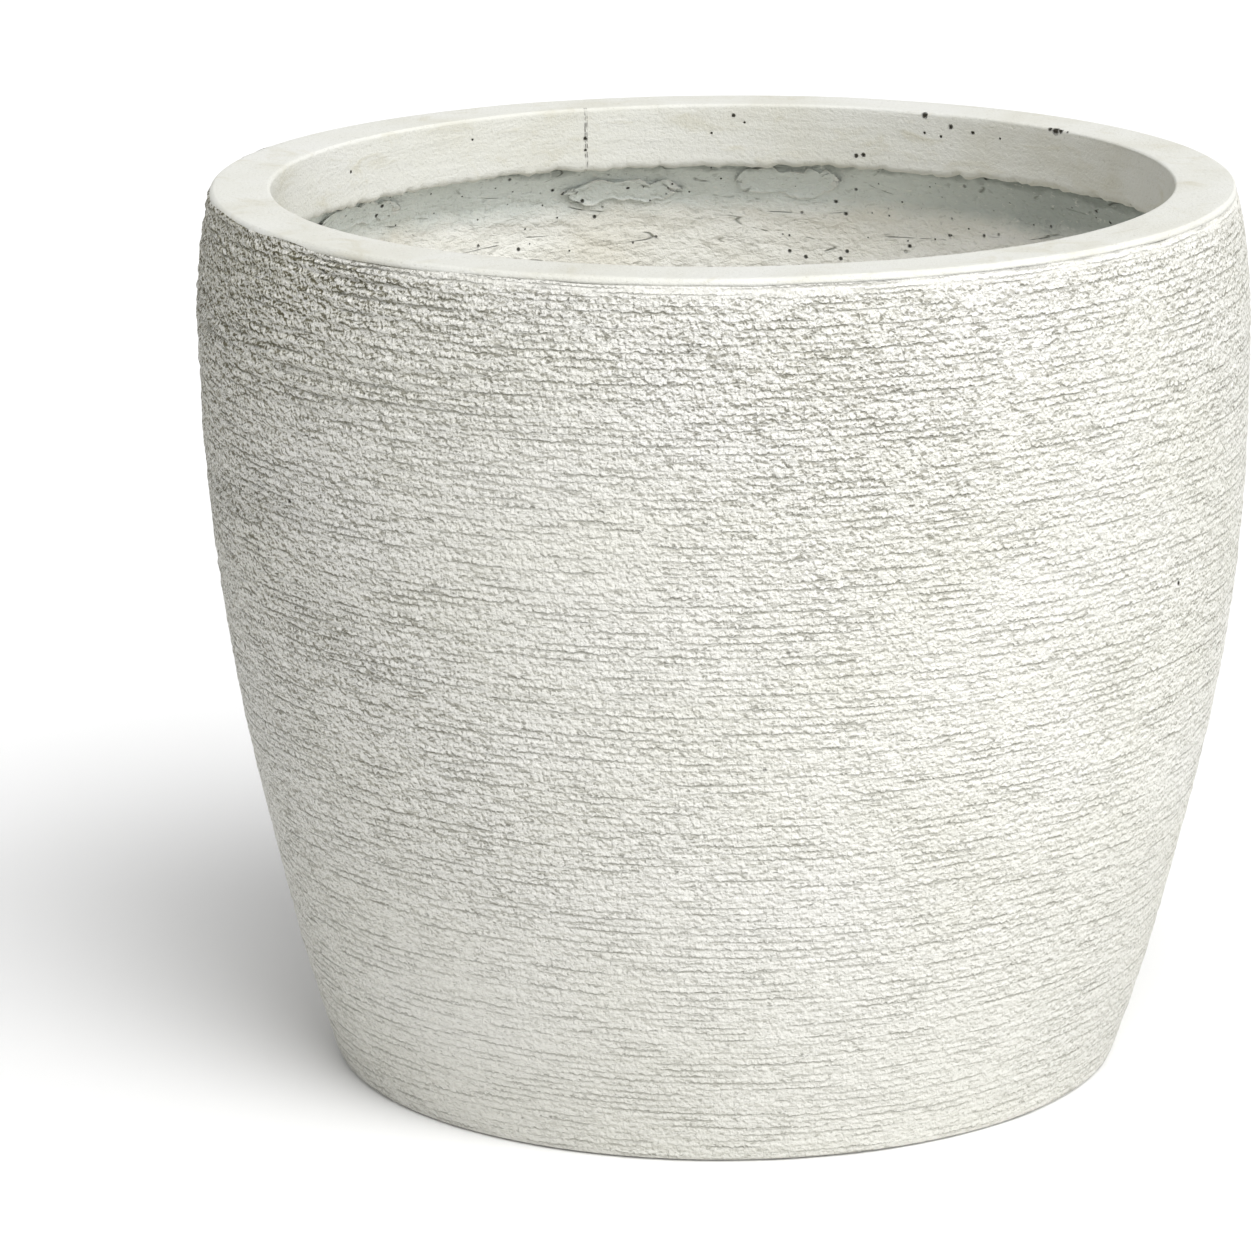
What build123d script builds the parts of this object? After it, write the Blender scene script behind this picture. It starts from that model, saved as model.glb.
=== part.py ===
from build123d import *
import math
import os

# A hand-laid fiberclay planter. It stands on Z = 0 with its axis on Z, in millimetres.

# Outer form: two tangent arcs that meet at the belly, and a small rounding at the foot.
HEIGHT = 356.0
BELLY_RADIUS = 209.5
BELLY_HEIGHT = 300.0
WALL_ARC = 914.0
SHOULDER_ARC = 252.0
FOOT_ROUNDING = 2.5

# Thickness of the lay-up, from the outside in.
COAT = 3.0
WALL = 9.0
MAT = 1.5

# Rim collar: a cast ring with a smooth mouth, a rounded lip and one butt joint.
COLLAR_DEPTH = 27.0
MOUTH_RADIUS = 179.0
LIP_DEPTH = 3.0
LIP_ROUNDING = 1.5
MOUTH_ROUNDING = 0.8
COLLAR_JOINT_GAP = 0.6
COLLAR_JOINT_DEPTH = 1.5
COLLAR_JOINT_ANGLE = 109.0

# Haunch: the wall thickens under the collar.
HAUNCH_RADIUS = 189.5
HAUNCH_HEIGHT = 16.0

# Floor: a slab with a recessed underside, so that the drain hole stays clear of the ground.
FLOOR_HEIGHT = 20.0
RECESS = 4.0
RECESS_RADIUS = 125.0
DRAIN_RADIUS = 12.5
FLOOR_MAT_TURN_UP = 26.0
FLOOR_MAT_HOLE = 22.0

# Mat courses: each one laps over the one below it.
LOWER_COURSE_START = 26.0
LOWER_COURSE_TOP = 190.0
COURSE_LAP = 24.0

# Torn patches, pressed over the mat under the collar: place round the pot in degrees from +X,
# height of the middle, width along the wall and height of each.
PATCHES = (
    (81.5, 320.0, 42.0, 16.0),
    (103.0, 317.0, 46.0, 13.0),
    (143.0, 320.0, 48.0, 14.0),
)
PATCH = 1.2
PATCH_REACH = 40.0

# Stopper: a stem with running clearance in the drain hole, a flange on the slab and a pull.
STEM_CLEARANCE = 0.05
STEM_FOOT = 5.0
STEM_LEAD = 1.5
FLANGE_RADIUS = 18.0
FLANGE_THICKNESS = 3.0
PULL_RADIUS = 5.0
PULL_NECK_RADIUS = 3.2
PULL_HEIGHT = 9.0

ON_BASE = (Align.CENTER, Align.CENTER, Align.MIN)


def outer_radius(height):
    """Radius of the outer face at a height."""
    arc = WALL_ARC if height < BELLY_HEIGHT else SHOULDER_ARC
    return BELLY_RADIUS - arc + math.sqrt(arc**2 - (height - BELLY_HEIGHT) ** 2)


def pot_core(inset):
    """Everything inside the outer face moved inwards by inset, from the floor to the rim."""
    foot = (outer_radius(0) - inset, 0)
    belly = (BELLY_RADIUS - inset, BELLY_HEIGHT)
    rim = (outer_radius(HEIGHT) - inset, HEIGHT)
    wall_middle = (outer_radius(BELLY_HEIGHT / 2) - inset, BELLY_HEIGHT / 2)
    shoulder_height = (HEIGHT + BELLY_HEIGHT) / 2
    shoulder_middle = (outer_radius(shoulder_height) - inset, shoulder_height)
    edges = [
        Line((0, 0), foot),
        ThreePointArc(foot, wall_middle, belly),
        ThreePointArc(belly, shoulder_middle, rim),
        Line(rim, (0, HEIGHT)),
        Line((0, HEIGHT), (0, 0)),
    ]
    return revolve(Plane.XZ * make_face(edges), axis=Axis.Z)


def slab_between(low, high, radius=2 * BELLY_RADIUS):
    """A plain disc between two heights."""
    return Pos(0, 0, low) * Cylinder(radius, high - low, align=ON_BASE)


def layer(outer_inset, inner_inset, low, high):
    """One layer of the wall between two insets and two heights."""
    return (pot_core(outer_inset) - pot_core(inner_inset)) & slab_between(low, high)


def hollow(inset):
    """The space inside the wall, moved inwards by inset: it narrows in a cone to the collar."""
    haunch_foot = HEIGHT - COLLAR_DEPTH - HAUNCH_HEIGHT
    wall_inset = COAT + WALL + inset
    below = pot_core(wall_inset) & slab_between(0, haunch_foot)
    foot_radius = outer_radius(haunch_foot) - wall_inset
    narrowing = Cone(foot_radius, HAUNCH_RADIUS - inset, HAUNCH_HEIGHT, align=ON_BASE)
    return below + Pos(0, 0, haunch_foot) * narrowing


def circles_at(solid, level):
    """The round edges of a solid at its lowest (0) or highest (-1) level, smallest first."""
    return solid.edges().filter_by(GeomType.CIRCLE).group_by(Axis.Z)[level].sort_by(SortBy.RADIUS)


def combed_coat():
    coat = layer(0, COAT, 0, HEIGHT - LIP_DEPTH)
    return fillet(circles_at(coat, 0)[-1], FOOT_ROUNDING)


def wall_laminate():
    top = HEIGHT - COLLAR_DEPTH
    return (pot_core(COAT) & slab_between(0, top)) - hollow(0)


def rim_collar():
    bottom = HEIGHT - COLLAR_DEPTH
    ring = pot_core(COAT) & slab_between(bottom, HEIGHT - LIP_DEPTH)
    lip = pot_core(0) & slab_between(HEIGHT - LIP_DEPTH, HEIGHT)
    ring = ring + lip - slab_between(bottom, HEIGHT, MOUTH_RADIUS)
    ring = fillet(circles_at(ring, -1)[-1], LIP_ROUNDING)
    ring = fillet(circles_at(ring, -1)[0], MOUTH_ROUNDING)
    joint = Box(2 * COLLAR_JOINT_DEPTH, COLLAR_JOINT_GAP, 2 * COLLAR_DEPTH)
    return ring - Rot(0, 0, COLLAR_JOINT_ANGLE) * Pos(MOUTH_RADIUS, 0, HEIGHT) * joint


def upper_mat_course():
    skin = hollow(0) - hollow(MAT)
    course = skin & slab_between(LOWER_COURSE_TOP, HEIGHT - COLLAR_DEPTH)
    lap_low = LOWER_COURSE_TOP - COURSE_LAP
    return course + layer(COAT + WALL + MAT, COAT + WALL + 2 * MAT, lap_low, LOWER_COURSE_TOP + MAT)


def lower_mat_course():
    course = layer(COAT + WALL, COAT + WALL + MAT, FLOOR_HEIGHT + FLOOR_MAT_TURN_UP, LOWER_COURSE_TOP)
    lap_top = FLOOR_HEIGHT + FLOOR_MAT_TURN_UP + MAT
    return course + layer(COAT + WALL + MAT, COAT + WALL + 2 * MAT, LOWER_COURSE_START, lap_top)


def torn_outline(width, height):
    """A torn patch: a ragged outline with long soft sides and one bitten corner."""
    w = width / 2
    h = height / 2
    return Polygon(
        (-w, -0.5 * h),
        (-0.4 * w, -h),
        (0.5 * w, -0.8 * h),
        (w, -0.1 * h),
        (0.9 * w, 0.7 * h),
        (0.3 * w, 0.8 * h),
        (0.1 * w, h),
        (-0.5 * w, 0.9 * h),
        (-0.8 * w, 0.3 * h),
        align=None,
    )


def lap_patches():
    skin = hollow(MAT) - hollow(MAT + PATCH)
    patches = []
    for angle, height, width, tall in PATCHES:
        outline = Plane.YZ * torn_outline(width, tall)
        cutter = Pos(BELLY_RADIUS - PATCH_REACH, 0, height) * extrude(outline, PATCH_REACH)
        patches += (skin & (Rot(0, 0, angle) * cutter)).solids()
    return Compound(children=patches)


def base_slab():
    slab = (pot_core(COAT + WALL) & slab_between(0, FLOOR_HEIGHT)) - slab_between(0, RECESS, RECESS_RADIUS)
    return slab - slab_between(0, FLOOR_HEIGHT, DRAIN_RADIUS)


def floor_mat():
    disc = pot_core(COAT + WALL) & slab_between(FLOOR_HEIGHT, FLOOR_HEIGHT + MAT)
    turn_up = layer(COAT + WALL, COAT + WALL + MAT, FLOOR_HEIGHT, FLOOR_HEIGHT + FLOOR_MAT_TURN_UP)
    return disc + turn_up - slab_between(0, HEIGHT, FLOOR_MAT_HOLE)


def drain_plug():
    stem = slab_between(STEM_FOOT, FLOOR_HEIGHT, DRAIN_RADIUS - STEM_CLEARANCE)
    stem = chamfer(circles_at(stem, 0), STEM_LEAD)
    flange_top = FLOOR_HEIGHT + FLANGE_THICKNESS
    flange = slab_between(FLOOR_HEIGHT, flange_top, FLANGE_RADIUS)
    flange = fillet(circles_at(flange, -1), FLANGE_THICKNESS / 2)
    neck = slab_between(FLOOR_HEIGHT, flange_top + PULL_HEIGHT, PULL_NECK_RADIUS)
    knob = Pos(0, 0, flange_top + PULL_HEIGHT) * Sphere(PULL_RADIUS)
    return stem + flange + neck + knob


NODES = {
    "combed_coat": combed_coat,
    "wall_laminate": wall_laminate,
    "rim_collar": rim_collar,
    "upper_mat_course": upper_mat_course,
    "lower_mat_course": lower_mat_course,
    "lap_patches": lap_patches,
    "base_slab": base_slab,
    "floor_mat": floor_mat,
    "drain_plug": drain_plug,
}

os.makedirs("parts", exist_ok=True)
for node, make in NODES.items():
    export_step(make(), f"parts/{node}.step")
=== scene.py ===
import math

import bpy
import numpy as np
from bpy.props import FloatProperty, FloatVectorProperty, PointerProperty
from mathutils import Matrix, Vector


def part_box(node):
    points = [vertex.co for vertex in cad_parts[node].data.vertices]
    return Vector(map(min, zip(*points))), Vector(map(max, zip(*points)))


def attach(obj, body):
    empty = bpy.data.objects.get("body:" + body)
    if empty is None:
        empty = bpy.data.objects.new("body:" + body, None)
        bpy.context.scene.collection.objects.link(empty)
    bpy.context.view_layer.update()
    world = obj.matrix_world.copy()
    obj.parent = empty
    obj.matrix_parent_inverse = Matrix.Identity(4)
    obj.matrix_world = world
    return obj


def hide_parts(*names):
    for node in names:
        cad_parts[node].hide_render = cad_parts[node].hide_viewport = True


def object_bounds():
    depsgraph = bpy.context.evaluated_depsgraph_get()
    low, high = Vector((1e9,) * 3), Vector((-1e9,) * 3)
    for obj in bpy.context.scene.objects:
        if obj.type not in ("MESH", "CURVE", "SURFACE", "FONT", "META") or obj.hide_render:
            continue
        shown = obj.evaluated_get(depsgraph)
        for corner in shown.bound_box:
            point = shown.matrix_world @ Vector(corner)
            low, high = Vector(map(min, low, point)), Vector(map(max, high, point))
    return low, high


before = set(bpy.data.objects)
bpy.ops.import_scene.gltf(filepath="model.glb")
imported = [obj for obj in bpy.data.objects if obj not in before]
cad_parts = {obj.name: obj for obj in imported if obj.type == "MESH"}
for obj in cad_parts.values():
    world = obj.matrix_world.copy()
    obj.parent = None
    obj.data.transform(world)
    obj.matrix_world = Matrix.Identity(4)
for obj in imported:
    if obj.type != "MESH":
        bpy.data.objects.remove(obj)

bl_info = {
    "name": "Fiberclay planter",
    "version": (1, 0, 0),
    "blender": (4, 5, 0),
    "location": "3D Viewport > Sidebar > Planter",
    "description": "Builds a combed fiberclay planter and its finishes around the packed frame",
    "category": "Object",
}

CAD_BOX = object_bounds()
MM = 0.001
PI = math.pi

# Sizes of the pot in metres. The frame gives the height and the belly; the arcs are the pot's own.
HEIGHT = CAD_BOX[1][2]
BELLY_RADIUS = CAD_BOX[1][0]
BELLY_HEIGHT = 300 * MM
WALL_ARC = 914 * MM
SHOULDER_ARC = 252 * MM
COAT = 3 * MM
WALL = 9 * MM
MAT = 1.5 * MM
FOOT_ROUNDING = 2.5 * MM
LIP_DEPTH = 3 * MM
LIP_EDGE = 0.6 * MM
LIP_ROUNDING = 1.8 * MM
MOUTH_ROUNDING = 1.7 * MM
COLLAR_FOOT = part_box("rim_collar")[0][2]
MOUTH_RADIUS = 179 * MM
HAUNCH_RADIUS = 189.5 * MM
HAUNCH_FOOT = COLLAR_FOOT - 16 * MM
FLOOR_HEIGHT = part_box("base_slab")[1][2]
UPPER_COURSE_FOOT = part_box("upper_mat_course")[0][2]
LOWER_COURSE_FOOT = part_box("lower_mat_course")[0][2]
LOWER_COURSE_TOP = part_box("lower_mat_course")[1][2]
FLOOR_MAT_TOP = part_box("floor_mat")[1][2]
FLOOR_MAT_HOLE = 22 * MM
PATCH_THICKNESS = 2 * MM

# Radius at which the relief of the mat has its true size: up the wall and on the floor.
COURSE_RELIEF_RADIUS = 190 * MM
FLOOR_RELIEF_RADIUS = 100 * MM

# Torn patches: name, angle in degrees, height of the middle, width round the wall, height.
PATCHES = (
    ("torn_patch_back", 81.5, 320 * MM, 42 * MM, 16 * MM),
    ("torn_patch_ledge", 103.0, 317 * MM, 46 * MM, 13 * MM),
    ("torn_patch_left", 143.0, 320 * MM, 48 * MM, 14 * MM),
)

# Air holes of the cast collar: angle in degrees, height and radius in millimetres.
PINHOLES = (
    (61.5, 354.4, 1.3), (57.5, 350.5, 1.0), (59.0, 346.0, 0.6), (61.5, 347.0, 0.6), (54.0, 349.0, 0.8),
    (49.5, 348.0, 0.5), (71.5, 335.0, 0.9), (70.5, 335.5, 0.9), (88.5, 351.0, 0.8), (87.0, 348.0, 0.5),
    (91.5, 343.5, 0.5), (39.5, 355.4, 2.0), (38.5, 355.6, 1.3), (40.6, 355.6, 1.2), (37.2, 355.8, 0.8),
    (22.0, 331.5, 1.2), (149.0, 343.0, 0.7), (126.0, 347.0, 0.5), (109.0, 343.0, 0.8), (109.0, 338.0, 0.6),
)

# Angle of the collar's butt joint in degrees.
JOINT_ANGLE = 109

# Mesh density: a grid is points up the wall by points round it, and the others are points round it.
COAT_GRID = (408, 238)
COLLAR_POINTS = 720
UPPER_COURSE_POINTS = 500
LOWER_COURSE_POINTS = 400
FLOOR_MAT_POINTS = 300
PATCH_GRID = (26, 60)
SEED = 41

# The photograph's view: distance and angles of the camera, and the frame it was cropped to.
CAMERA_DISTANCE = 2438.5 * MM
CAMERA_TARGET = 176.8 * MM
CAMERA_PITCH = 14.4
CAMERA_ROLL = 0.246
PHOTO_SIDE = 1260
FOCAL_PIXELS = 6030
CENTRE_PIXEL = (724.6, 616.2)
SENSOR = 36.0

# Dust and painted shade in the coat's comb lines and hollows, and painted shade in its pits, as sRGB hex
# codes.
GROOVE_DUST_AND_SHADE = "57553f"
PIT_SHADE = "3d3a32"


def outer_radius(height):
    """Radius of the pot's outer face at a height: two arcs that meet at the belly."""
    arc = np.where(height < BELLY_HEIGHT, WALL_ARC, SHOULDER_ARC)
    return BELLY_RADIUS - arc + np.sqrt(arc**2 - (height - BELLY_HEIGHT) ** 2)


def linear(code):
    """A colour for a shader from its sRGB hex code."""
    parts = [int(code[i : i + 2], 16) / 255 for i in (0, 2, 4)]
    return [p / 12.92 if p <= 0.04045 else ((p + 0.055) / 1.055) ** 2.4 for p in parts] + [1]


def toned(colour, factors):
    """A body colour made lighter or darker, for the uneven wash of the clay."""
    return [part * factor for part, factor in zip(colour, factors)] + [1]


def smooth_step(low, high, value):
    """0 below low, 1 above high, and a soft rise between them."""
    t = np.clip((value - low) / (high - low), 0, 1)
    return t * t * (3 - 2 * t)


def noise_field(shape, extent, grain, seed):
    """Random relief of unit spread on a grid of heights by turns, seamless round the pot.

    extent is the grid's height and girth, and grain the relief's softness in both, in metres."""
    rows, turns = shape
    spread = np.random.default_rng(seed).standard_normal((2 * rows, turns))
    wave_up = np.fft.fftfreq(2 * rows, extent[0] / rows)[:, None]
    wave_round = np.fft.rfftfreq(turns, extent[1] / turns)[None, :]
    keep = np.exp(-2 * PI**2 * ((wave_up * grain[0]) ** 2 + (wave_round * grain[1]) ** 2))
    field = np.fft.irfft2(np.fft.rfft2(spread) * keep, s=spread.shape)[:rows]
    return (field - field.mean()) / field.std()


def dent(heights, turns, place, size, depth):
    """A soft hollow in a surface: its place and size are in metres up and radians round."""
    around = np.angle(np.exp(1j * (turns - place[1])))
    return depth * np.exp(-(((heights - place[0]) / size[0]) ** 2 + (around / size[1]) ** 2) / 2)


def ring_mesh(name, radii, heights, turns, attributes=None):
    """A closed skin from a loop of profile points turned round the axis: arrays of points by turns."""
    points, count = radii.shape
    place = np.stack([radii * np.cos(turns), radii * np.sin(turns), heights], axis=2)
    i, j = np.meshgrid(np.arange(points), np.arange(count), indexing="ij")
    up = (i + 1) % points
    on = (j + 1) % count
    corners = np.stack([i * count + j, i * count + on, up * count + on, up * count + j], axis=2)
    mesh = bpy.data.meshes.new(name)
    mesh.vertices.add(points * count)
    mesh.vertices.foreach_set("co", place.astype(np.float32).ravel())
    mesh.loops.add(corners.size)
    mesh.loops.foreach_set("vertex_index", corners.astype(np.int32).ravel())
    mesh.polygons.add(points * count)
    mesh.polygons.foreach_set("loop_start", np.arange(0, corners.size, 4, dtype=np.int32))
    mesh.polygons.foreach_set("use_smooth", np.ones(points * count, dtype=bool))
    mesh.update(calc_edges=True)
    outward = np.diff(radii[:, 0], append=radii[:1, 0])
    upward = np.diff(heights[:, 0], append=heights[:1, 0])
    steps = np.hypot(outward, upward)
    along = np.concatenate([[0], np.cumsum(steps)]) / steps.sum()
    u = np.stack([j, j + 1, j + 1, j], axis=2) / count
    v = np.stack([along[i], along[i], along[i + 1], along[i + 1]], axis=2)
    unwrapped = mesh.uv_layers.new(name="OFBake")
    unwrapped.uv.foreach_set("vector", np.stack([u, v], axis=3).astype(np.float32).ravel())
    for key, values in (attributes or {}).items():
        layer = mesh.attributes.new(key, "FLOAT", "POINT")
        spread = np.broadcast_to(values, radii.shape)
        layer.data.foreach_set("value", spread.astype(np.float32).ravel())
    piece = bpy.data.objects.new(name, mesh)
    bpy.context.scene.collection.objects.link(piece)
    return piece


def settle(piece, body, slot, material, *nodes):
    """Gives a piece its finish, its body and the frame nodes that it stands for."""
    piece.data.materials.clear()
    piece.data.materials.append(material)
    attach(piece, body)
    if nodes:
        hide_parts(*nodes)
    return piece


def evenly(count):
    """Angles at even steps round the pot."""
    return np.linspace(0, 2 * PI, count, endpoint=False)


# Materials


def new_material(name):
    """A new material with its node tree and its shader."""
    material = bpy.data.materials.new(name)
    material.use_nodes = True
    return material, material.node_tree, material.node_tree.nodes["Principled BSDF"]


def add(tree, kind, inputs=None, **settings):
    """Adds a node with its settings, and sets or links its inputs."""
    node = tree.nodes.new(kind)
    for key, value in settings.items():
        setattr(node, key, value)
    for key, value in (inputs or {}).items():
        if isinstance(value, bpy.types.NodeSocket):
            tree.links.new(value, node.inputs[key])
        else:
            node.inputs[key].default_value = value
    return node


def ramp(tree, factor, stops):
    """A colour ramp from a list of places and linear colours."""
    node = add(tree, "ShaderNodeValToRGB", {"Fac": factor})
    band = node.color_ramp
    while len(band.elements) < len(stops):
        band.elements.new(0.5)
    for element, (place, colour) in zip(band.elements, stops):
        element.position = place
        element.color = colour
    return node.outputs["Color"]


def grain(tree, size, stretch=1.0, detail=2.0, roughness=0.5, warp=0.0, away=(0, 0, 0)):
    """Noise whose grain has a real size in metres, drawn out round the pot by stretch.

    away reads the same noise at a place that far off, in metres."""
    coordinate = add(tree, "ShaderNodeTexCoord").outputs["Object"]
    coordinate = add(tree, "ShaderNodeVectorMath", {0: coordinate, 1: away}, operation="ADD").outputs[0]
    scale = (1 / (size * stretch), 1 / (size * stretch), 1 / size)
    scaled = add(tree, "ShaderNodeVectorMath", {0: coordinate, 1: scale}, operation="MULTIPLY")
    inputs = {"Vector": scaled.outputs[0], "Scale": 1.0, "Detail": detail}
    inputs |= {"Roughness": roughness, "Distortion": warp}
    return add(tree, "ShaderNodeTexNoise", inputs).outputs["Fac"]


def pores(tree, size, share):
    """Small round holes: 1 in the middle of some cells, where share is how many cells have one."""
    coordinate = add(tree, "ShaderNodeTexCoord").outputs["Object"]
    cells = add(tree, "ShaderNodeTexVoronoi", {"Vector": coordinate, "Scale": 1 / size})
    chosen = span(tree, cells.outputs["Color"], 1 - share, 1.02 - share)
    near = span(tree, cells.outputs["Distance"], 0.22, 0.1)
    return times(tree, chosen, near)


def span(tree, value, low, high, to_low=0.0, to_high=1.0):
    """Maps a value from one range to another, and stops at its ends."""
    inputs = {"Value": value, "From Min": low, "From Max": high, "To Min": to_low, "To Max": to_high}
    return add(tree, "ShaderNodeMapRange", inputs).outputs["Result"]


def math_node(tree, operation, first, second):
    return add(tree, "ShaderNodeMath", {0: first, 1: second}, operation=operation).outputs[0]


def times(tree, first, second):
    return math_node(tree, "MULTIPLY", first, second)


def larger(tree, first, second):
    return math_node(tree, "MAXIMUM", first, second)


def weighted(tree, *parts):
    """Sum of values, each with its weight."""
    total = None
    for value, weight in parts:
        scaled = times(tree, value, weight)
        total = scaled if total is None else math_node(tree, "ADD", total, scaled)
    return total


def mix(tree, factor, first, second):
    """One colour over another, by a factor."""
    node = add(tree, "ShaderNodeMix", {"Factor": factor}, data_type="RGBA")
    for key, value in ((6, first), (7, second)):
        if isinstance(value, bpy.types.NodeSocket):
            tree.links.new(value, node.inputs[key])
        else:
            node.inputs[key].default_value = value
    return node.outputs[2]


def bump(tree, height, depth):
    """A shading normal from a height between 0 and 1, where 1 stands depth above 0."""
    inputs = {"Height": height, "Strength": 1.0, "Distance": depth}
    return add(tree, "ShaderNodeBump", inputs).outputs["Normal"]


def clay_wash(tree, clouds, body_colour, thin, thick):
    """The body colour, uneven as the clay dried: thin and thick tone it where least and most was left."""
    whole = toned(body_colour, (1, 1, 1))
    stops = [(0, toned(body_colour, thin)), (0.5, whole), (1, toned(body_colour, thick))]
    return ramp(tree, span(tree, clouds, 0.3, 0.7), stops)


def combed_clay(body_colour, relief):
    """Combed fiberclay: clay and cement dragged round with a comb while wet."""
    # Dry and fully matt. The eye sees crumbs lit from above, with painted highlight on their tops and
    # painted shade under them, thin comb lines darkened by dust and painted shade that start and stop, and
    # a heavier, yellower texture where the comb was pressed hard.
    material, tree, surface = new_material("combed_fiberclay")
    sand = relief.sand_grain
    # above points a little way towards the key light, for the painted shade and highlight on the crumbs.
    above = [0.5 * sand * part for part in (0.35, -0.35, 0.87)]
    bristles = grain(tree, 0.5 * relief.fine_pitch, 9, 2, 0.6, 0.5)
    crumbs = grain(tree, sand, 1.35, 1, 0.6, 0.4)
    crumbs_toward_light = grain(tree, sand, 1.35, 1, 0.6, 0.4, above)
    clods = grain(tree, 2.2 * sand, 1.7, 1, 0.5, 0.3)
    clods_toward_light = grain(tree, 2.2 * sand, 1.7, 1, 0.5, 0.3, [2 * part for part in above])
    dust = grain(tree, 0.35 * sand, 1.2, 1.5, 0.6)
    holes = pores(tree, 5 * MM, 0.08)
    phase = add(tree, "ShaderNodeAttribute", attribute_name="comb").outputs["Fac"]
    strength = add(tree, "ShaderNodeAttribute", attribute_name="strength").outputs["Fac"]

    # Comb lines follow the mesh's own grooves, but the crumbs push them about.
    ragged = weighted(tree, (phase, 2 * PI), (crumbs, 5.0), (clods, 3.0), (bristles, 2.4))
    comb = math_node(tree, "SINE", ragged, 0.0)
    hold = span(tree, grain(tree, 0.8 * relief.comb_pitch, 13, 2, 0.65), 0.44, 0.62, 0.08, 1.0)
    line = times(tree, span(tree, comb, 0.35, 1.0), hold)
    rough = weighted(tree, (crumbs, 0.65), (clods, 0.25), (dust, 0.1))
    height = times(tree, rough, strength)
    height = weighted(tree, (height, 1.0), (bristles, 0.12), (line, -0.1), (holes, -0.3))
    tree.links.new(bump(tree, height, relief.comb_depth), surface.inputs["Normal"])

    # Painted light: each crumb's side towards the key light, above and to the front right, is painted
    # lighter and its side away from it darker, read from the same noise a little way off towards the
    # light.
    away_from_light = weighted(tree, (crumbs_toward_light, 1.0), (crumbs, -1.0), (clods_toward_light, 0.7), (clods, -0.7))
    painted_shade_share = span(tree, strength, 0.4, 1.25, 0.12, 1.0)
    painted_highlight_share = span(tree, strength, 0.4, 1.25, 0.10, 0.85)
    under = times(tree, span(tree, away_from_light, 0.015, 0.17), painted_shade_share)
    painted_highlight = times(tree, span(tree, away_from_light, -0.015, -0.17), painted_highlight_share)
    # Painted shade in the hollows between the crumbs.
    sunk = weighted(tree, (rough, 1.0), (strength, -0.07), (bristles, 0.12))
    painted_cavity_shade = span(tree, sunk, 0.43, 0.34)
    mottle = grain(tree, 70 * MM, 1.6, 3, 0.6)
    body = clay_wash(tree, mottle, body_colour, (0.961, 0.961, 0.940), (1.030, 1.030, 1.052))
    body = mix(tree, span(tree, strength, 0.8, 1.6, 0, 0.5), body, linear("cfcbb4"))
    coordinate = add(tree, "ShaderNodeTexCoord").outputs["Object"]
    up = add(tree, "ShaderNodeSeparateXYZ", {"Vector": coordinate}).outputs["Z"]
    body = mix(tree, span(tree, up, 170 * MM, 20 * MM, 0, 0.6), body, linear("cfcec6"))
    # Painted shade on the crumbs' sides away from the light.
    body = mix(tree, under, body, linear("746f58"))
    # Painted highlight on the crumbs' sides towards the light.
    body = mix(tree, painted_highlight, body, linear("f8f7f2"))
    # Dust and painted shade in the comb lines and in the hollows.
    dust_and_shade = larger(tree, times(tree, painted_cavity_shade, 0.6), times(tree, line, 0.85))
    dust_and_shade = times(tree, dust_and_shade, span(tree, strength, 0.2, 1.1, 0.35, 1.0))
    body = mix(tree, dust_and_shade, body, linear(GROOVE_DUST_AND_SHADE))
    body = mix(tree, holes, body, linear(PIT_SHADE))
    tree.links.new(body, surface.inputs["Base Color"])
    surface.inputs["Roughness"].default_value = 0.93
    surface.inputs["Specular IOR Level"].default_value = 0.3
    return material


def cast_clay(body_colour):
    """Smooth cast fiberclay: clay and cement poured against a greased form."""
    # A close, chalky skin without gloss. The eye sees faint wash marks, a few air holes whose dark
    # mouths are painted shade, and the hair line of the butt joint.
    material, tree, surface = new_material("smooth_cast_fiberclay")
    wash = grain(tree, 30 * MM, 1.8, 4, 0.6, 0.5)
    stain = grain(tree, 9 * MM, 2.5, 3, 0.65, 0.8)
    fine = grain(tree, 1.3 * MM, 1.2, 3, 0.65)
    trowel = grain(tree, 5 * MM, 9, 2, 0.5)
    small = pores(tree, 7 * MM, 0.05)
    holes = larger(tree, times(tree, small, 0.6), pinholes(tree))
    holes = larger(tree, holes, butt_joint(tree))
    height = weighted(tree, (fine, 0.9), (trowel, 0.8), (stain, 0.8), (holes, -3.0))
    tree.links.new(bump(tree, height, 0.45 * MM), surface.inputs["Normal"])
    body = clay_wash(tree, wash, body_colour, (0.931, 0.921, 0.890), (1.031, 1.031, 1.053))
    body = mix(tree, span(tree, stain, 0.55, 0.75, 0, 0.45), body, linear("c8c3ac"))
    body = mix(tree, span(tree, fine, 0.4, 0.3, 0, 0.3), body, linear("a5a190"))
    # Painted shade in the air holes; the joint's hair line is its own dark colour.
    body = mix(tree, holes, body, linear("3a382f"))
    tree.links.new(body, surface.inputs["Base Color"])
    surface.inputs["Roughness"].default_value = 0.88
    surface.inputs["Specular IOR Level"].default_value = 0.3
    return material


def pinholes(tree):
    """The larger air holes of the casting, each at its angle, height and radius."""
    found = None
    ragged = grain(tree, 0.7 * MM, 1, 1, 0.5)
    coordinate = add(tree, "ShaderNodeTexCoord").outputs["Object"]
    for angle, height, radius in PINHOLES:
        turn = math.radians(angle)
        centre = (MOUTH_RADIUS * math.cos(turn), MOUTH_RADIUS * math.sin(turn), height * MM)
        away = add(tree, "ShaderNodeVectorMath", {0: coordinate, 1: centre}, operation="DISTANCE")
        away = weighted(tree, (away.outputs["Value"], 1.0), (ragged, radius * MM))
        hole = span(tree, away, 1.7 * radius * MM, 1.1 * radius * MM)
        found = hole if found is None else larger(tree, found, hole)
    return found


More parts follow.
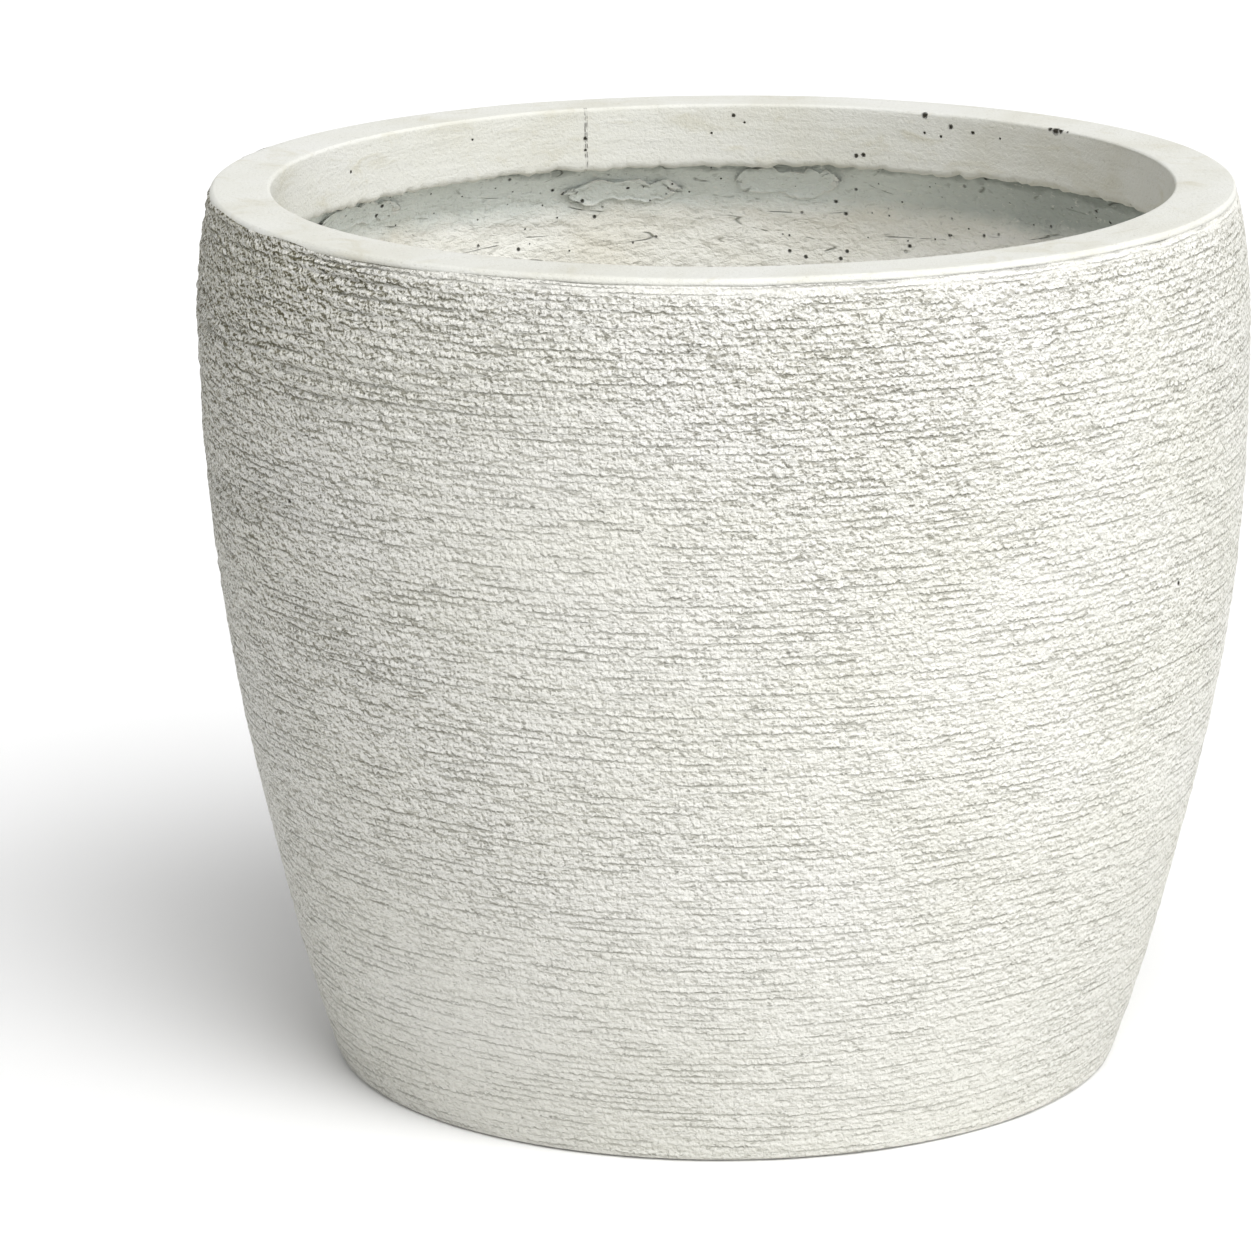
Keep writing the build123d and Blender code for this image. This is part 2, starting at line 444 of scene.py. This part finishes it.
def butt_joint(tree):
    """The joint of the cast ring: a hair line across the mouth's face, filled here and there."""
    coordinate = add(tree, "ShaderNodeTexCoord").outputs["Object"]
    turn = math.radians(JOINT_ANGLE)
    inputs = {0: coordinate, 1: (-math.sin(turn), math.cos(turn), 0)}
    across = add(tree, "ShaderNodeVectorMath", inputs, operation="DOT_PRODUCT").outputs["Value"]
    inputs = {0: coordinate, 1: (math.cos(turn), math.sin(turn), 0)}
    outward = add(tree, "ShaderNodeVectorMath", inputs, operation="DOT_PRODUCT").outputs["Value"]
    wander = 0.8 * MM
    across = weighted(tree, (across, 1.0), (grain(tree, 3 * MM), wander))
    across = math_node(tree, "ABSOLUTE", across, 0.0)
    across = math_node(tree, "ABSOLUTE", math_node(tree, "SUBTRACT", across, wander / 2), 0.0)
    line = span(tree, across, 0.3 * MM, 0.1 * MM)
    at_face = span(tree, outward, MOUTH_RADIUS + 2.5 * MM, MOUTH_RADIUS + 1.5 * MM)
    at_mouth = span(tree, outward, 0.5 * MOUTH_RADIUS, 0.6 * MOUTH_RADIUS)
    open_here = span(tree, grain(tree, 2.5 * MM, 1, 2, 0.6), 0.46, 0.62, 0.05, 0.45)
    return times(tree, times(tree, line, times(tree, at_face, at_mouth)), open_here)


def pressed_mat_clay(name, body_colour, thin=(0.927, 0.909, 0.871), thick=(1.047, 1.047, 1.069)):
    """Fiberclay over glass mat: wet clay pressed by hand over chopped glass."""
    # Matt and uneven. The eye sees soft lumps, creases where the mat folded, open pits, and a cool grey
    # band on the haunch, which is painted shade.
    material, tree, surface = new_material(name)
    wash = grain(tree, 45 * MM, 2.0, 4, 0.65, 0.6)
    lumps = grain(tree, 7 * MM, 1.8, 2, 0.5, 0.5)
    flakes = grain(tree, 2.0 * MM, 1.7, 2, 0.6, 0.4)
    fine = grain(tree, 0.9 * MM, 1.5, 3, 0.65)
    holes = larger(tree, pores(tree, 4.5 * MM, 0.24), pores(tree, 2.4 * MM, 0.18))
    fold = math_node(tree, "SUBTRACT", grain(tree, 12 * MM, 5, 1.5, 0.5, 0.5), 0.5)
    crease = span(tree, math_node(tree, "ABSOLUTE", fold, 0.0), 0.010, 0.001)
    crease = times(tree, crease, span(tree, grain(tree, 7 * MM, 1.8, 2, 0.6), 0.52, 0.62))
    height = weighted(tree, (lumps, 1.0), (flakes, 0.45), (fine, 0.2), (holes, -0.8), (crease, -0.35))
    tree.links.new(bump(tree, height, 2.6 * MM), surface.inputs["Normal"])

    body = clay_wash(tree, wash, body_colour, thin, thick)
    coordinate = add(tree, "ShaderNodeTexCoord").outputs["Object"]
    place = add(tree, "ShaderNodeSeparateXYZ", {"Vector": coordinate}).outputs
    up = weighted(tree, (place["Z"], 1.0), (lumps, 8 * MM), (wash, 10 * MM))
    # Painted shade: the haunch band is painted a cool grey.
    haunch_painted_shade = span(tree, up, HAUNCH_FOOT + 1 * MM, HAUNCH_FOOT + 9 * MM, 0, 0.7)
    body = mix(tree, haunch_painted_shade, body, linear("dfe7e4"))
    # Painted shade on the right side of the haunch band, which faces away from the key light.
    painted_shade_right = times(tree, haunch_painted_shade, span(tree, place["X"], 70 * MM, 140 * MM, 0, 0.9))
    body = mix(tree, painted_shade_right, body, linear("98a09c"))
    # Painted shade in a dark line under the collar's foot.
    painted_shade_under_collar = span(tree, up, COLLAR_FOOT + 5.5 * MM, COLLAR_FOOT + 8 * MM, 0, 0.55)
    body = mix(tree, painted_shade_under_collar, body, linear("7f8580"))
    # Painted shade in the creases and in the hollows between flakes.
    painted_hollow_shade = larger(tree, span(tree, flakes, 0.38, 0.30, 0, 0.25), times(tree, crease, 0.7))
    body = mix(tree, painted_hollow_shade, body, linear("7c7f74"))
    # The patches' torn edges are painted pale: partly their pale fibres, partly painted highlight.
    torn = add(tree, "ShaderNodeAttribute", attribute_name="torn").outputs["Fac"]
    body = mix(tree, torn, body, linear("f3f2ec"))
    # Painted highlight on the raised flakes.
    body = mix(tree, span(tree, flakes, 0.62, 0.7, 0, 0.5), body, linear("f0efe9"))
    # Painted shade in the open pits.
    body = mix(tree, holes, body, linear("4a4a42"))
    tree.links.new(body, surface.inputs["Base Color"])
    surface.inputs["Roughness"].default_value = 0.9
    surface.inputs["Specular IOR Level"].default_value = 0.3
    return material


def moulded_rubber():
    """Black rubber pressed in a polished mould."""
    # A soft dark sheen, dulled in clouds where the rubber has bloomed.
    material, tree, surface = new_material("moulded_stopper_rubber")
    bloom = grain(tree, 6 * MM, 1.0, 4, 0.6)
    tone = ramp(tree, span(tree, bloom, 0.35, 0.7), [(0, linear("222120")), (1, linear("34322f"))])
    tree.links.new(tone, surface.inputs["Base Color"])
    tree.links.new(span(tree, bloom, 0.3, 0.7, 0.5, 0.68), surface.inputs["Roughness"])
    tree.links.new(bump(tree, grain(tree, 0.8 * MM), 0.05 * MM), surface.inputs["Normal"])
    return material


# Settings that a user would change


class PlanterRelief(bpy.types.PropertyGroup):
    comb_pitch: FloatProperty(
        name="Comb pitch", description="Height from one comb line to the next",
        default=2.9 * MM, unit="LENGTH")
    fine_pitch: FloatProperty(
        name="Fine pitch", description="Height from one bristle line to the next",
        default=2.1 * MM, unit="LENGTH")
    comb_depth: FloatProperty(
        name="Comb depth", description="Height of the coat's crumbs over its deepest pits",
        default=4.5 * MM, unit="LENGTH")
    sand_grain: FloatProperty(
        name="Sand grain", description="Size of the sand that the comb drags up",
        default=1.35 * MM, unit="LENGTH")


class PlanterColours(bpy.types.PropertyGroup):
    coat: FloatVectorProperty(
        name="Coat", description="Body colour of the combed coat",
        default=linear("e6e5de")[:3], subtype="COLOR", size=3, min=0, max=1)
    collar: FloatVectorProperty(
        name="Collar", description="Body colour of the smooth cast collar",
        default=linear("e0e0d9")[:3], subtype="COLOR", size=3, min=0, max=1)
    lining: FloatVectorProperty(
        name="Lining", description="Body colour of the clay over the glass mat",
        default=linear("f4f3ec")[:3], subtype="COLOR", size=3, min=0, max=1)
    casting: FloatVectorProperty(
        name="Rough casting", description="Body colour of the wall and the slab",
        default=linear("c6c5ba")[:3], subtype="COLOR", size=3, min=0, max=1)


class StudioLight(bpy.types.PropertyGroup):
    key_strength: FloatProperty(
        name="Key", description="Strength of the high soft light from the front",
        default=1.75)
    fill_strength: FloatProperty(
        name="Fill", description="Strength of the low soft light from the right",
        default=1.5)
    sky_strength: FloatProperty(
        name="Surround", description="Strength of the white surround",
        default=0.48)


# Pieces


def coat_piece(relief):
    """The outer coat: ridges pulled round by the comb, with its ragged edge under the lip."""
    rows, count = COAT_GRID
    turns = evenly(count)[None, :]
    top = HEIGHT - LIP_EDGE
    share = np.linspace(0, 1, rows)[:, None]
    heights = np.repeat(share * top, count, axis=1)
    share = heights / top
    size = (top, 2 * PI * BELLY_RADIUS)

    def field(grain_up, grain_round, seed):
        """Relief of a softness up the wall and round it, in millimetres."""
        return noise_field((rows, count), size, (grain_up * MM, grain_round * MM), SEED + seed)

    # The comb was pressed hardest at the upper left, and lightest near the foot and the lip.
    left = smooth_step(-0.2, 1.0, -np.cos(turns + 0.35)) * np.ones_like(heights)
    crown = smooth_step(0.86, 0.99, share)
    smooth_band = smooth_step(top - 7 * MM, top - 2 * MM, heights) * (1 - left)
    strength = 0.5 + 0.1 * smooth_step(0.1, 0.65, share) + 0.12 * share**3
    strength = strength + left * (0.65 * share + 0.35 * crown) + 0.05 * field(26, 45, 4)
    strength = np.clip(strength, 0.35, 1.6) * (1 - 0.55 * smooth_band)

    # Comb lines, dragged lumps and broken bristle lines.
    lines = field(0.72, 12, 1)
    long_lines = field(0.75, 45, 2)
    lumps = field(1.3, 4.5, 3)
    phase = heights / relief.comb_pitch + 0.2 * field(18, 55, 6) + 0.1 * field(5, 24, 7)
    comb = np.sin(2 * PI * phase)
    hold = np.clip(0.75 + 0.45 * field(5, 26, 8), 0, 1.6)
    groove = smooth_step(0.1, 1.0, comb) * hold * 0.7 + smooth_step(1.0, 2.4, lines)
    groove = groove + smooth_step(1.5, 2.8, long_lines)
    ridges = 0.14 * lumps - 0.1 * lines - (0.12 + 0.16 * left * share) * comb * hold - 0.22 * groove
    out = ridges * strength * MM + 0.3 * MM * field(40, 70, 5)

    # Broad rows at the upper left, where the clay slid under the comb.
    wide = smooth_step(-0.6, 0.8, -np.cos(turns + 0.35)) * smooth_step(0.70, 0.90, share)
    swell = np.sin(2 * PI * heights / (6.2 * MM) + 1.3 * field(9, 55, 9))
    out = out + 0.42 * MM * swell * wide * np.clip(0.7 + 0.5 * field(8, 35, 10), 0, 1.5)

    # The hand-laid wall isn't quite round: two flats and a lean to the right.
    out = out + dent(heights, turns, (88 * MM, 0.0), (36 * MM, 0.45), -1.7 * MM)
    out = out + dent(heights, turns, (95 * MM, PI), (30 * MM, 0.4), -0.9 * MM)
    out = out + 1.7 * MM * np.sin(PI * share) * np.cos(turns)
    out = np.clip(out, -2.7 * MM, 2.2 * MM) * smooth_step(0, 3 * MM, heights)

    set_back = 0.3 + 0.9 * left + (0.1 + 0.25 * left) * lines
    edge = (smooth_step(top - 1.6 * MM, top, heights) * set_back * MM).clip(0)
    rounding = (1 - heights / FOOT_ROUNDING).clip(0, 1)
    foot = FOOT_ROUNDING * (1 - np.sqrt(1 - rounding**2))
    outer = outer_radius(heights) + out - foot - edge
    sink = 1.9 * (1 - left) + ((0.25 + 0.35 * left) * (1 + lines + 0.5 * lumps)).clip(0, 1.6)
    heights = heights - smooth_step(top - 8 * MM, top, heights) * sink * MM

    back_heights = np.linspace(1, 0, 8)[:, None] * np.ones((1, count)) * top
    back_heights = np.minimum(back_heights, heights[-1])
    depth = np.where(back_heights > HEIGHT - LIP_DEPTH, 1.4 * MM, COAT)
    back = outer_radius(back_heights) - depth
    radii = np.concatenate([outer, back])
    z = np.concatenate([heights, back_heights])
    attributes = {
        "comb": np.concatenate([phase, np.zeros_like(back)]),
        "strength": np.concatenate([strength, np.ones_like(back)]),
    }
    return ring_mesh("combed_coat_skin", radii, z, turns, attributes)


def rounded_corner(radius, height, size, start, end):
    """Points of a quarter round that starts from a face at a radius and ends at a top at a height.

    A size below 0 rounds a hole's edge. start and end are the first and last angle, in that order."""
    points = []
    for angle in np.linspace(start, end, 7):
        drop = abs(size) * (1 - math.sin(angle))
        points.append((radius - size * (1 - math.cos(angle)), height - drop))
    return points


def collar_piece():
    """The cast collar: flat rim, rounded lip, upright mouth and a foot that the mat laps under."""
    count = COLLAR_POINTS
    turns = evenly(count)

    def waver(grain_round, seed):
        """Unevenness round the mouth, of a softness in millimetres."""
        size = (1, 2 * PI * MOUTH_RADIUS)
        return noise_field((1, count), size, (1, grain_round * MM), SEED + seed)[0]

    ragged = waver(1.3, 20)
    slow = waver(16, 21)
    wave = waver(60, 22)
    rim = float(outer_radius(HEIGHT))
    under_lip = HEIGHT - LIP_DEPTH
    profile = [(float(outer_radius(under_lip)) - 0.5 * MM, under_lip)]
    profile += rounded_corner(rim, HEIGHT, LIP_ROUNDING, 0, PI / 2)
    for radius in np.linspace(rim - 4 * MM, MOUTH_RADIUS + 3.4 * MM, 9):
        profile.append((radius, HEIGHT))
    profile += rounded_corner(MOUTH_RADIUS, HEIGHT, -MOUTH_ROUNDING, PI / 2, 0)
    for height in np.linspace(HEIGHT - 4 * MM, COLLAR_FOOT + 2.5 * MM, 20):
        profile.append((MOUTH_RADIUS, height))
    profile.append((MOUTH_RADIUS + 0.4 * MM, COLLAR_FOOT + 1 * MM))
    profile.append((MOUTH_RADIUS + 1.6 * MM, COLLAR_FOOT + 0.1 * MM))
    profile.append((HAUNCH_RADIUS - MAT, COLLAR_FOOT))
    profile.append((float(outer_radius(COLLAR_FOOT)) - COAT, COLLAR_FOOT))
    profile.append((rim - COAT, under_lip))

    loop = np.array(profile)
    radii = np.repeat(loop[:, :1], count, axis=1)
    heights = np.repeat(loop[:, 1:], count, axis=1)
    mouth = (radii < MOUTH_RADIUS + 2.2 * MM) & (heights < HEIGHT - 1 * MM)
    low = smooth_step(HEIGHT - 8 * MM, COLLAR_FOOT, heights) * mouth
    drop = (0.45 * ragged + 0.45 * slow + 0.7 * wave) * MM
    heights = heights + low * np.clip(drop, -2.0 * MM, 2.4 * MM)
    radii = radii + mouth * (0.12 * wave + 0.08 * slow) * MM
    around = np.angle(np.exp(1j * (turns - np.radians(JOINT_ANGLE))))
    joint = np.exp(-((around * MOUTH_RADIUS / (0.7 * MM)) ** 2))
    radii = radii + mouth * joint * (0.15 + 0.1 * ragged) * MM
    flat = heights > HEIGHT - 0.1 * MM
    heights = heights + flat * (0.12 * slow - 0.1) * MM
    return ring_mesh("rim_collar_cast", radii, heights, turns[None, :])


def course_piece(name, profile, seed, lump, count):
    """A mat course: its inner face is a lumpy, creased skin and its back lies flat on the wall.

    profile lists inner radius, outer radius and height from the foot up."""
    rows = len(profile)
    turns = evenly(count)
    inner, outer, heights = [np.repeat(line[:, None], count, axis=1) for line in np.array(profile).T]
    girth = 2 * PI * COURSE_RELIEF_RADIUS
    size = (heights.max() - heights.min(), girth)

    def field(grain_up, grain_round, step):
        """Relief of a softness up the wall and round it, in millimetres."""
        return noise_field((rows, count), size, (grain_up * MM, grain_round * MM), SEED + seed + step)

    lumps = 0.55 * field(4, 9, 0) + 0.35 * field(1.8, 4, 1) + 0.5 * field(14, 30, 2)
    creases = smooth_step(1.2, 2.4, field(1.5, 22, 3))
    inner = inner - lump * (np.clip(lumps, -1.6, 2.4) - 0.7 * creases)
    edge_turn = smooth_step(0, 3 * MM, heights - heights.min())
    inner = outer - (outer - inner) * (0.35 + 0.65 * edge_turn)
    ragged = noise_field((1, count), (1, girth), (1, 5 * MM), SEED + seed + 5)[0]
    heights = heights + (1 - edge_turn) * (1.2 * ragged - 1.0) * MM
    radii = np.concatenate([inner[::-1], outer])
    z = np.concatenate([heights[::-1], heights])
    return ring_mesh(name, radii, z, turns[None, :])


def wall_profile(low, high, step, lap_until=None):
    """Inner radius, outer radius and height of a course up the inside of the wall."""
    profile = []
    for z in np.append(np.arange(low, high, step), high):
        back = float(outer_radius(z)) - COAT - WALL
        if z > HAUNCH_FOOT:
            foot = float(outer_radius(HAUNCH_FOOT)) - COAT - WALL
            back = foot + (HAUNCH_RADIUS - foot) * (z - HAUNCH_FOOT) / (COLLAR_FOOT - HAUNCH_FOOT)
        if lap_until is not None:
            back -= MAT * float(1 - smooth_step(lap_until, lap_until + 5 * MM, z))
        profile.append((back - MAT, back, float(z)))
    return profile


def upper_course_piece():
    """The course that shows in the mouth: it laps the lower one and ends under the collar."""
    profile = wall_profile(UPPER_COURSE_FOOT, COLLAR_FOOT, 1.7 * MM, LOWER_COURSE_TOP)
    return course_piece("upper_mat_course_skin", profile, 50, 0.65 * MM, UPPER_COURSE_POINTS)


def lower_course_piece():
    """The course below, which laps the turned-up edge of the floor mat."""
    profile = wall_profile(LOWER_COURSE_FOOT, LOWER_COURSE_TOP, 2.2 * MM, FLOOR_MAT_TOP)
    return course_piece("lower_mat_course_skin", profile, 70, 0.5 * MM, LOWER_COURSE_POINTS)


def floor_mat_piece():
    """The mat disc over the floor, turned up the wall at its edge and open round the drain."""
    count = FLOOR_MAT_POINTS
    turns = evenly(count)
    face_height = FLOOR_HEIGHT + MAT
    bend = 6 * MM
    corner = float(outer_radius(FLOOR_HEIGHT + 3 * MM)) - COAT - WALL - MAT
    top = [(radius, face_height) for radius in np.linspace(FLOOR_MAT_HOLE, corner - bend, 60)]
    for angle in np.linspace(0, PI / 2, 6)[1:]:
        top.append((corner - bend * (1 - math.sin(angle)), face_height + bend * (1 - math.cos(angle))))
    for z in np.linspace(FLOOR_HEIGHT + 10 * MM, FLOOR_MAT_TOP, 12):
        top.append((float(outer_radius(z)) - COAT - WALL - MAT, z))
    back = [(float(outer_radius(z)) - COAT - WALL, z) for z in np.linspace(FLOOR_MAT_TOP, FLOOR_HEIGHT, 6)]
    under = [(radius, FLOOR_HEIGHT) for radius in np.linspace(corner - 8 * MM, FLOOR_MAT_HOLE, 6)]
    loop = np.array(top + back + under)
    rows = len(loop)
    radii = np.repeat(loop[:, :1], count, axis=1)
    heights = np.repeat(loop[:, 1:], count, axis=1)
    size = (rows * 2.3 * MM, 2 * PI * FLOOR_RELIEF_RADIUS)
    lumps = noise_field((rows, count), size, (4 * MM, 5 * MM), SEED + 90)
    lumps = lumps + 0.8 * noise_field((rows, count), size, (12 * MM, 14 * MM), SEED + 91)
    face = np.zeros((rows, 1))
    face[2 : len(top) - 14] = 1
    heights = heights + face * (0.35 * np.clip(lumps, -1.5, 2.5) + 0.3) * MM
    return ring_mesh("floor_mat_skin", radii, heights, turns[None, :])


def patch_piece(name, angle, height, width, tall, seed):
    """A torn piece of mat pressed over the course: a thin leaf with a ragged feathered edge."""
    cells_up, cells_round = PATCH_GRID
    rng = np.random.default_rng(SEED + seed)

    def wander(along, knots, size):
        """A line that wanders between random knots."""
        return size * np.interp(along, np.linspace(-1, 1, knots), rng.standard_normal(knots))

    u = np.linspace(-1, 1, cells_round)
    v = np.linspace(-1, 1, cells_up)
    uu, vv = np.meshgrid(u, v)
    low = -0.75 + wander(u, 13, 0.16)
    high = 0.75 + wander(u, 13, 0.16)
    taper = np.sqrt(np.clip(1 - np.abs(uu) ** 5, 0, 1))
    fine = wander(u, 41, 0.05)
    y = ((low + high) / 2)[None, :] + vv * ((high - low) / 2 + fine)[None, :] * taper
    side = uu * (1 + wander(v, 9, 0.06)[:, None])
    z = height + y * tall / 2
    around = np.radians(angle) + side * width / 2 / HAUNCH_RADIUS
    foot = float(outer_radius(HAUNCH_FOOT)) - COAT - WALL
    slope = np.clip((z - HAUNCH_FOOT) / (COLLAR_FOOT - HAUNCH_FOOT), 0, 1)
    back = foot + (HAUNCH_RADIUS - foot) * slope - MAT + 0.4 * MM
    rim_u = np.minimum(1 - np.abs(uu), 1 - np.abs(vv))
    lift = 0.85 - 0.3 * smooth_step(0.05, 0.35, rim_u) + 0.15 * np.sin(7 * uu + 3 * vv)
    face = back - 0.4 * MM - PATCH_THICKNESS * lift
    points = []
    for r in (face, back):
        points.append(np.stack([r * np.cos(around), r * np.sin(around), z], axis=2).reshape(-1, 3))
    vertices = np.concatenate(points)
    count = cells_round * cells_up

    def index(row, col, layer):
        return layer * count + row * cells_round + col

    faces = []
    for row in range(cells_up - 1):
        for col in range(cells_round - 1):
            quad = [(row, col), (row, col + 1), (row + 1, col + 1), (row + 1, col)]
            faces.append([index(a, b, 0) for a, b in reversed(quad)])
            faces.append([index(a, b, 1) for a, b in quad])
    border = [(0, c) for c in range(cells_round)] + [(r, cells_round - 1) for r in range(1, cells_up)]
    border += [(cells_up - 1, c) for c in range(cells_round - 2, -1, -1)]
    border += [(r, 0) for r in range(cells_up - 2, 0, -1)]
    for here, following in zip(border, border[1:] + border[:1]):
        faces.append([index(*here, 0), index(*following, 0), index(*following, 1), index(*here, 1)])
    mesh = bpy.data.meshes.new(name)
    mesh.from_pydata(vertices.tolist(), [], faces)
    mesh.update()
    # Where the patch's edge is painted pale: partly pale torn fibres, partly painted highlight.
    torn = np.clip(1 - rim_u / 0.1, 0, 1) * (0.5 + 0.5 * np.sin(9 * uu + 4 * vv))
    layer = mesh.attributes.new("torn", "FLOAT", "POINT")
    layer.data.foreach_set("value", np.tile(torn.ravel(), 2).astype(np.float32))
    for polygon in mesh.polygons:
        polygon.use_smooth = True
    piece = bpy.data.objects.new(name, mesh)
    bpy.context.scene.collection.objects.link(piece)
    return piece


# Operators


class PLANTER_OT_coat(bpy.types.Operator):
    """Builds the combed outer coat"""

    bl_idname = "planter.coat"
    bl_label = "Combed coat"

    def execute(self, context):
        scene = context.scene
        material = combed_clay(scene.planter_colours.coat, scene.planter_relief)
        settle(coat_piece(scene.planter_relief), "pot", "combed_clay", material, "combed_coat")
        return {"FINISHED"}


class PLANTER_OT_collar(bpy.types.Operator):
    """Builds the cast rim collar"""

    bl_idname = "planter.collar"
    bl_label = "Rim collar"

    def execute(self, context):
        material = cast_clay(context.scene.planter_colours.collar)
        settle(collar_piece(), "pot", "smooth_clay", material, "rim_collar")
        return {"FINISHED"}


class PLANTER_OT_lining(bpy.types.Operator):
    """Builds the mat courses, the floor mat and the torn patches"""

    bl_idname = "planter.lining"
    bl_label = "Mat lining"

    def execute(self, context):
        material = pressed_mat_clay("fiberclay_over_glass_mat", context.scene.planter_colours.lining)
        settle(upper_course_piece(), "pot", "clay_on_glass_mat", material, "upper_mat_course")
        settle(lower_course_piece(), "pot", "clay_on_glass_mat", material, "lower_mat_course")
        settle(floor_mat_piece(), "pot", "clay_on_glass_mat", material, "floor_mat")
        for seed, (name, angle, height, width, tall) in enumerate(PATCHES):
            patch = patch_piece(name, angle, height, width, tall, 120 + seed)
            settle(patch, "pot", "clay_on_glass_mat", material, "lap_patches")
        return {"FINISHED"}


class PLANTER_OT_structure(bpy.types.Operator):
    """Finishes the wall, the slab and the stopper of the frame"""

    bl_idname = "planter.structure"
    bl_label = "Wall, slab and stopper"

    def execute(self, context):
        colour = context.scene.planter_colours.casting
        thin, thick = (0.808, 0.817, 0.797), (1.141, 1.142, 1.163)
        rough = pressed_mat_clay("rough_cast_fiberclay", colour, thin, thick)
        finishes = {"wall_laminate": rough, "base_slab": rough, "drain_plug": moulded_rubber()}
        for node, material in finishes.items():
            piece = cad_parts[node]
            piece.data.materials.clear()
            piece.data.materials.append(material)
        return {"FINISHED"}


class PLANTER_OT_stage(bpy.types.Operator):
    """Sets up the floor, the soft light and the camera"""

    bl_idname = "planter.stage"
    bl_label = "Studio stage"

    def execute(self, context):
        build_floor()
        build_light(context.scene.studio_light)
        build_camera()
        return {"FINISHED"}


def build_floor():
    """The white paper that the pot stands on."""
    bpy.ops.mesh.primitive_plane_add(size=12, location=(0, 0, 0))
    floor = bpy.context.object
    floor.name = "studio_floor"
    material, tree, surface = new_material("white_paper_floor")
    surface.inputs["Base Color"].default_value = linear("fbfbfb")
    surface.inputs["Roughness"].default_value = 1.0
    surface.inputs["Specular IOR Level"].default_value = 0.0
    floor.data.materials.append(material)


def build_light(light):
    """A white surround with a high key light and a low fill light, both from the right."""
    world = bpy.data.worlds.new("soft_white_surround")
    bpy.context.scene.world = world
    world.use_nodes = True
    background = world.node_tree.nodes["Background"]
    background.inputs["Color"].default_value = (1, 1, 1, 1)
    background.inputs["Strength"].default_value = light.sky_strength
    add_soft_light("key_light", 56, -69, 35, light.key_strength)
    add_soft_light("fill_light", 24, -38, 70, light.fill_strength)
    bpy.context.scene.view_settings.view_transform = "Standard"


def add_soft_light(name, elevation, azimuth, spread, strength):
    """A far, wide soft light: its direction and its spread are in degrees."""
    lamp = bpy.data.lights.new(name, "SUN")
    lamp.angle = math.radians(spread)
    lamp.energy = strength
    holder = bpy.data.objects.new(name, lamp)
    bpy.context.scene.collection.objects.link(holder)
    up = math.radians(elevation)
    round_pot = math.radians(azimuth)
    level = math.cos(up)
    place = Vector((level * math.cos(round_pot), level * math.sin(round_pot), math.sin(up)))
    holder.location = 3 * place
    holder.rotation_euler = (-place).to_track_quat("-Z", "Y").to_euler()


def build_camera():
    """The photograph's camera: a long lens, a little above the rim."""
    lens = bpy.data.cameras.new("photo_camera")
    camera = bpy.data.objects.new("photo_camera", lens)
    bpy.context.scene.collection.objects.link(camera)
    lens.sensor_width = SENSOR
    lens.lens = SENSOR * FOCAL_PIXELS / PHOTO_SIDE
    lens.shift_x = (PHOTO_SIDE / 2 - CENTRE_PIXEL[0]) / PHOTO_SIDE
    lens.shift_y = (CENTRE_PIXEL[1] - PHOTO_SIDE / 2) / PHOTO_SIDE
    lens.clip_end = 50
    pitch = math.radians(CAMERA_PITCH)
    back = CAMERA_DISTANCE * math.cos(pitch)
    place = Vector((0, -back, CAMERA_TARGET + CAMERA_DISTANCE * math.sin(pitch)))
    tilt = Matrix.Rotation(PI / 2 - pitch, 4, "X")
    roll = Matrix.Rotation(math.radians(-CAMERA_ROLL), 4, "Z")
    camera.matrix_world = Matrix.Translation(place) @ tilt @ roll
    bpy.context.scene.camera = camera


class PLANTER_PT_panel(bpy.types.Panel):
    """Lists the planter's operators and settings in the sidebar"""

    bl_idname = "PLANTER_PT_panel"
    bl_label = "Fiberclay planter"
    bl_space_type = "VIEW_3D"
    bl_region_type = "UI"
    bl_category = "Planter"

    def draw(self, context):
        layout = self.layout
        for operator in OPERATORS:
            layout.operator(operator.bl_idname)
        scene = context.scene
        for group in (scene.planter_relief, scene.planter_colours, scene.studio_light):
            for key in group.__annotations__:
                layout.prop(group, key)


OPERATORS = (
    PLANTER_OT_coat,
    PLANTER_OT_collar,
    PLANTER_OT_lining,
    PLANTER_OT_structure,
    PLANTER_OT_stage,
)
SETTINGS = (PlanterRelief, PlanterColours, StudioLight)


def register():
    for group in SETTINGS + OPERATORS + (PLANTER_PT_panel,):
        bpy.utils.register_class(group)
    bpy.types.Scene.planter_relief = PointerProperty(type=PlanterRelief)
    bpy.types.Scene.planter_colours = PointerProperty(type=PlanterColours)
    bpy.types.Scene.studio_light = PointerProperty(type=StudioLight)


def unregister():
    del bpy.types.Scene.studio_light
    del bpy.types.Scene.planter_colours
    del bpy.types.Scene.planter_relief
    for group in reversed(SETTINGS + OPERATORS + (PLANTER_PT_panel,)):
        bpy.utils.unregister_class(group)


def main():
    register()
    bpy.ops.planter.coat()
    bpy.ops.planter.collar()
    bpy.ops.planter.lining()
    bpy.ops.planter.structure()
    bpy.ops.planter.stage()


if __name__ == "__main__":
    main()
